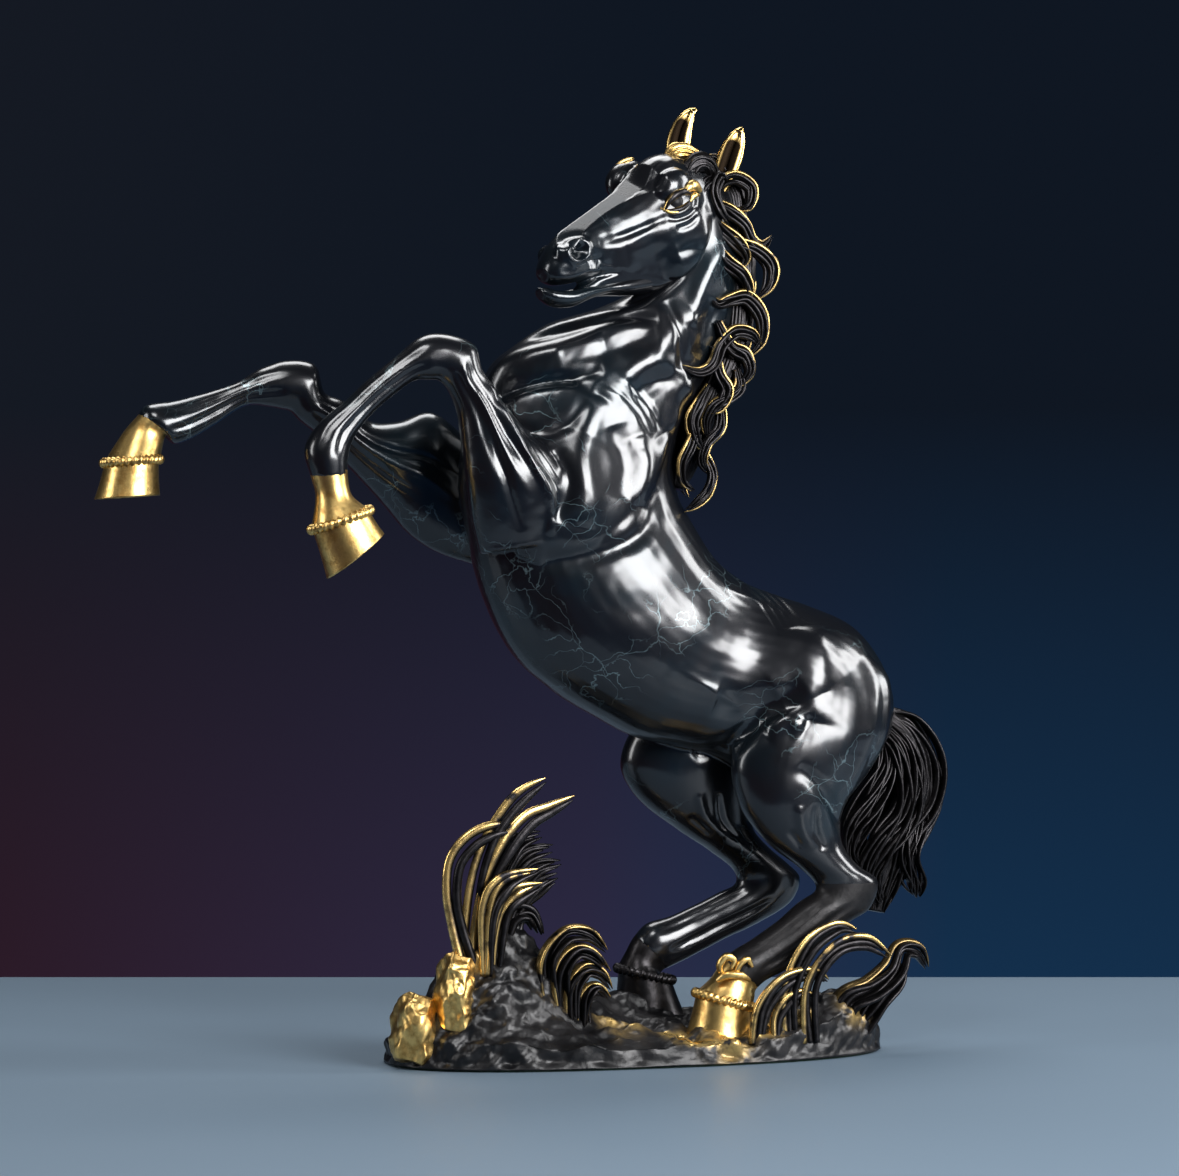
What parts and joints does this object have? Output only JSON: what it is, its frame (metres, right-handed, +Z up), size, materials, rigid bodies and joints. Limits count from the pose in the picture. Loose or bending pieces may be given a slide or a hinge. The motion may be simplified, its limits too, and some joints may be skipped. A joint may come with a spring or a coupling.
{
  "type": "horse statue",
  "caption": "Rearing horse figure in black and gilded cast bronze on a rocky base with reeds, for a table or shelf.",
  "frame": {"origin": "on the table under the base, at the middle of its depth, 21.5 mm in front of the middle of its length", "axes": "+Z up, -X the way the horse faces, -Y the horse's left side"},
  "size_m": [0.3912, 0.096, 0.4304],
  "materials": {
    "patina": "glossy black patina with fine pale veins",
    "dark_hair": "satin dark brown-black patina, combed",
    "dark_plants": "satin dark patina",
    "gilt": "polished gilding",
    "gilt_plants": "gilding rubbed over dark patina",
    "gilt_rock": "hammered gilding",
    "rock": "matte grey-brown cast rock",
    "steel": "plain",
    "cover": "plain sheet",
    "felt": "dark felt"
  },
  "bodies": {
    "root": {"trunk": "patina", "neck": "patina", "head": "patina", "lower_jaw": "patina", "left_ear": "gilt", "right_ear": "gilt", "poll_tuft": "gilt", "forelock": "dark_hair", "mane": "dark_hair", "left_forearm": "patina", "left_fore_cannon": "patina", "left_fore_hoof": "gilt", "right_forearm": "patina", "right_fore_cannon": "patina", "right_fore_hoof": "gilt", "left_thigh": "patina", "left_hind_cannon": "patina", "left_hind_hoof": "gilt", "right_thigh": "patina", "right_hind_cannon": "patina", "right_hind_hoof": "gilt", "tail": "dark_hair", "base_rock": "rock", "gilded_rocks": "gilt_rock", "tall_reeds": "gilt_plants", "reed_fan": "dark_plants", "gilded_leaves": "gilt_plants", "curl_tuft": "dark_plants", "rear_leaves": "gilt_plants", "rear_curl": "dark_plants", "dowels": "steel", "pins": "steel", "hoof_studs": "steel", "stud_nuts": "steel", "stud_washers": "steel", "cover_plate": "cover", "cover_screws": "steel", "felt_sheet": "felt"}
  },
  "joints": []
}
